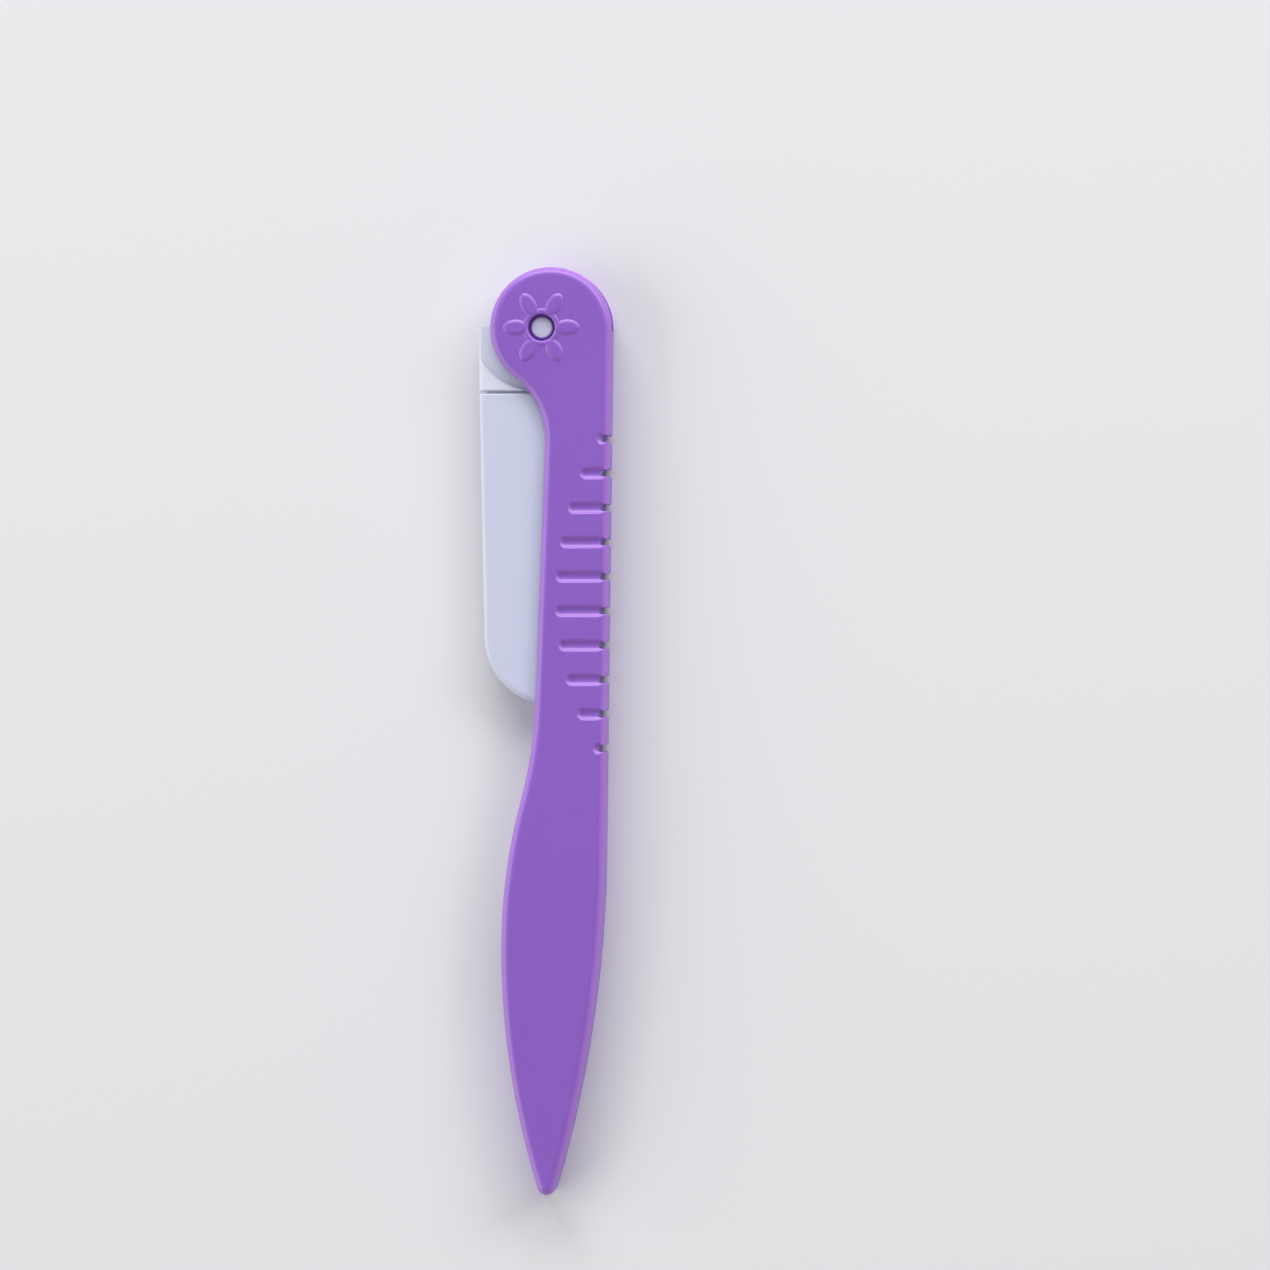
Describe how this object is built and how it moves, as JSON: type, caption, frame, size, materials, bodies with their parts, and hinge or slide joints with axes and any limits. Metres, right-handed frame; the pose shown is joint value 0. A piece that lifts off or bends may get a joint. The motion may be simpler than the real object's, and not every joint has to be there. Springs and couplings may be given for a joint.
{
  "type": "eyebrow razor",
  "caption": "Folding eyebrow razor: flat leaf-shaped plastic handle with a ribbed grip, a guarded blade that swings out of it on a pin, and a slide-on safety cap.",
  "frame": {"origin": "on the pivot axis, at the handle's flat back face, with the blade folded and the cap on", "axes": "+X from the blade's back towards the handle's back, +Y from the tail to the head, +Z out of the flowered front face"},
  "size_m": [0.0143, 0.0999, 0.0052],
  "materials": {
    "handle_plastic": "purple moulded plastic, satin gloss",
    "pin_plastic": "white moulded plastic",
    "holder_plastic": "white moulded plastic, satin gloss",
    "blade_steel": "stainless strip, ground edge",
    "guard_steel": "thin stainless strip, slotted and folded",
    "cap_plastic": "milky white moulded plastic, gloss"
  },
  "bodies": {
    "handle": {"handle": "handle_plastic", "pivot_pin": "pin_plastic"},
    "blade_unit": {"blade_holder": "holder_plastic", "blade": "blade_steel", "edge_guard": "guard_steel"},
    "cap": {"safety_cap": "cap_plastic"}
  },
  "joints": [
    {"name": "blade_fold", "type": "hinge", "parent": "handle", "child": "blade_unit", "pos_m": [0, 0, 0.0025], "axis": [0, 0, -1], "range_deg": [0, 180]},
    {"name": "cap_slide", "type": "slide", "parent": "blade_unit", "child": "cap", "axis": [0, -1, 0], "range_m": [0, 0.03315]}
  ]
}
